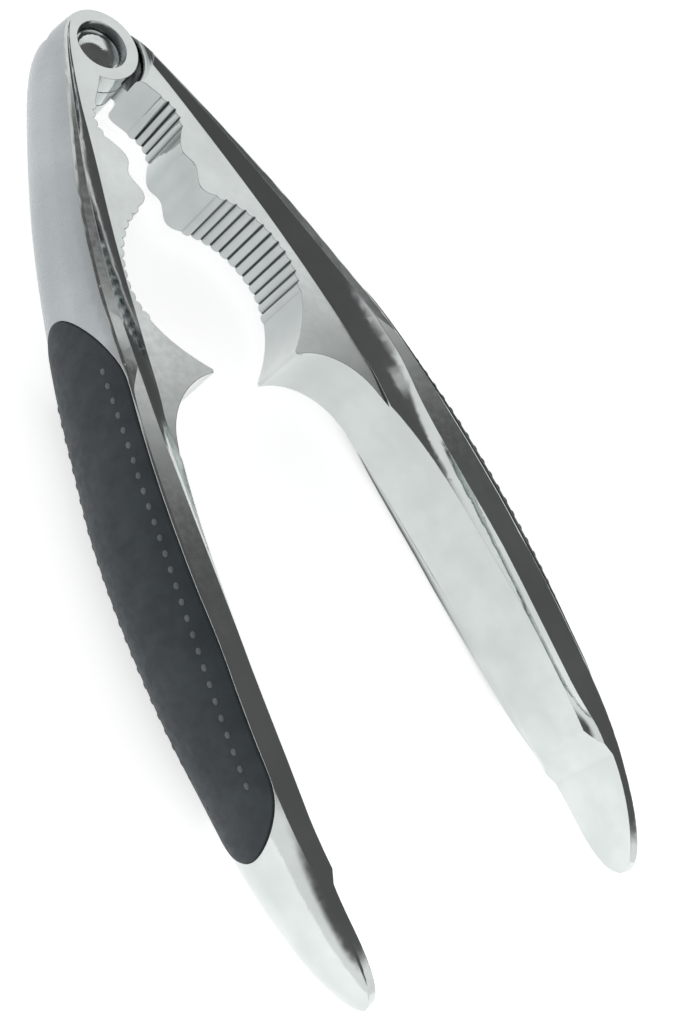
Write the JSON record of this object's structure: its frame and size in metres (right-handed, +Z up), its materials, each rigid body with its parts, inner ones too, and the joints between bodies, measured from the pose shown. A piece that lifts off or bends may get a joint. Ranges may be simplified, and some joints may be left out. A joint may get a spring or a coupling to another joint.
{
  "type": "nutcracker",
  "caption": "Hand nutcracker: two cast metal levers hinged at one end, with ribbed nut jaws and a soft grip inlaid in each back.",
  "frame": {"origin": "middle of the footprint, on the surface that the nutcracker lies on, with its levers parted as in the rest pose", "axes": "+Z up along the hinge axis, +Y from the free ends of the levers to the hinge, +X towards the right lever"},
  "size_m": [0.0814, 0.1698, 0.0198],
  "materials": {
    "left_casting": "polished",
    "right_casting": "polished",
    "rivet": "polished",
    "grip": "matte"
  },
  "bodies": {
    "left_lever": {"left_lever": "left_casting", "left_grip": "grip", "hinge_rivet": "rivet"},
    "right_lever": {"right_lever": "right_casting", "right_grip": "grip"}
  },
  "joints": [
    {"name": "hinge", "type": "hinge", "parent": "left_lever", "child": "right_lever", "pos_m": [0, 0.07756, 0.0099], "axis": [0, 0, 1], "range_deg": [-16.95, 111]}
  ]
}
